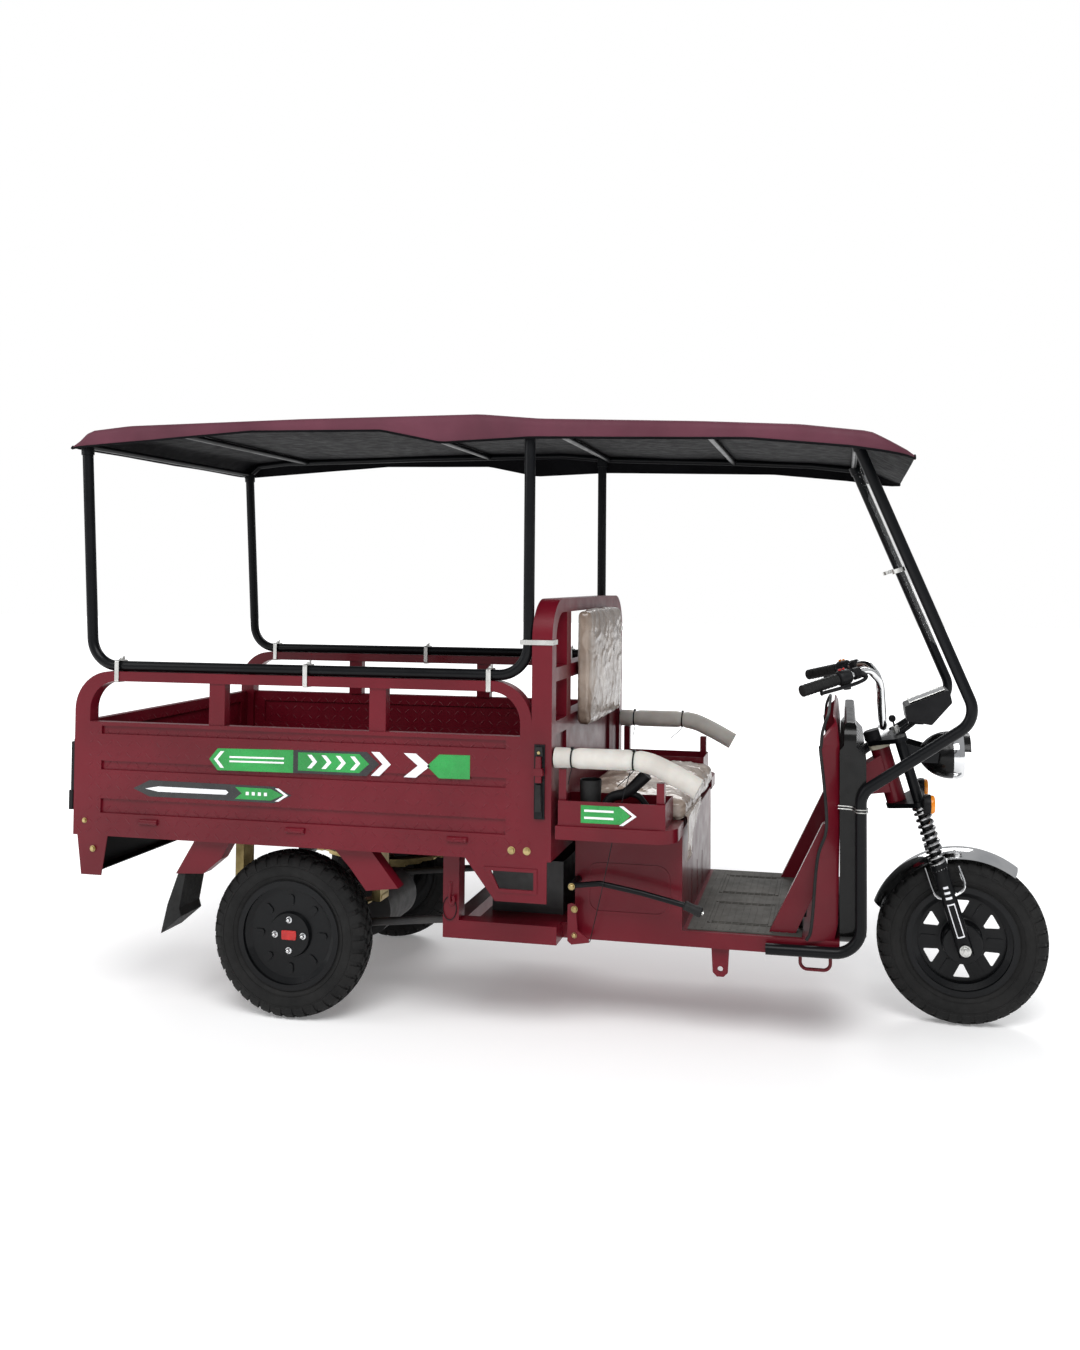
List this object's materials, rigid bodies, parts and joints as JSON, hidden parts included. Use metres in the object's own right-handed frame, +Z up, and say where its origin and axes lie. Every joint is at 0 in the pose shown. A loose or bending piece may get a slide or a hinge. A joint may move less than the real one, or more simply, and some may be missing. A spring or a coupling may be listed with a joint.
{
  "type": "electric cargo tricycle",
  "caption": "Electric cargo tricycle with an open load bed, bulkhead, bench seat, raked front fork and a full-length tube-framed cloth canopy.",
  "frame": {"origin": "on the ground under the middle of the whole vehicle", "axes": "+X forward, +Y to the vehicle's left, +Z up"},
  "size_m": [2.9969, 1.034, 1.8329],
  "materials": {
    "crimson_paint": "gloss",
    "black_paint": "gloss",
    "dark_steel": "satin",
    "brass_plated": "zinc plated",
    "chrome": "polished",
    "tyre": "matt",
    "rubber": "matt",
    "black_plastic": "satin",
    "gloss_black": "gloss",
    "red_lens": "gloss",
    "orange_lens": "gloss",
    "cushion": "film-wrapped",
    "foam": "foam",
    "canopy_cloth": "coated cloth",
    "glass": "clear"
  },
  "bodies": {
    "chassis": {"rear_axle": "dark_steel", "leaf_springs": "brass_plated", "bed_frame": "crimson_paint", "floor_frame": "crimson_paint", "floorboard": "crimson_paint", "floor_mat": "rubber", "bed_floor": "crimson_paint", "side_gates": "crimson_paint", "side_rails": "crimson_paint", "corner_latches": "gloss_black", "bulkhead_frame": "crimson_paint", "backrest_pad": "cushion", "seat_box": "crimson_paint", "seat_cushion": "cushion", "battery_box": "black_plastic", "arm_trays": "crimson_paint", "arm_pads": "foam", "side_plates": "crimson_paint", "tail_panel": "black_paint", "tail_lamps": "red_lens", "mud_brackets": "crimson_paint", "mud_flaps": "rubber", "leg_shield": "crimson_paint", "front_fairing": "gloss_black", "head_frame": "crimson_paint", "canopy_cover": "canopy_cloth", "roof_frame": "black_paint", "side_hoops": "black_paint", "front_pillars": "black_paint", "windscreen": "glass", "tube_clamps": "chrome", "brake_lever": "black_paint", "brake_pedal": "rubber"},
    "tailgate": {"tailgate": "crimson_paint"},
    "fork": {"fork": "black_paint", "fork_springs": "chrome", "front_fender": "chrome", "handlebar": "chrome", "grips": "rubber", "headlamp_shell": "gloss_black", "headlamp_lens": "glass", "turn_signals": "orange_lens", "instrument_cluster": "gloss_black"},
    "front_wheel": {"front_tyre": "tyre", "front_rim": "black_paint"},
    "rear_wheel_right": {"rear_tyre_right": "tyre", "rear_rim_right": "black_paint"},
    "rear_wheel_left": {"rear_tyre_left": "tyre", "rear_rim_left": "black_paint"}
  },
  "joints": [
    {"name": "steering", "type": "hinge", "parent": "chassis", "child": "fork", "pos_m": [1.0235, 0, 0.756], "axis": [-0.2924, 0, 0.9563], "range_deg": [-40, 40]},
    {"name": "front_wheel_spin", "type": "hinge", "parent": "fork", "child": "front_wheel", "pos_m": [1.2435, 0, 0.255], "axis": [0, 1, 0], "continuous": true},
    {"name": "rear_wheel_right_spin", "type": "hinge", "parent": "chassis", "child": "rear_wheel_right", "pos_m": [-0.7765, -0.393, 0.255], "axis": [0, 1, 0], "continuous": true},
    {"name": "rear_wheel_left_spin", "type": "hinge", "parent": "chassis", "child": "rear_wheel_left", "pos_m": [-0.7765, 0.393, 0.255], "axis": [0, 1, 0], "continuous": true},
    {"name": "tailgate_hinge", "type": "hinge", "parent": "chassis", "child": "tailgate", "pos_m": [-1.4805, 0, 0.595], "axis": [0, -1, 0], "range_deg": [0, 175]}
  ]
}
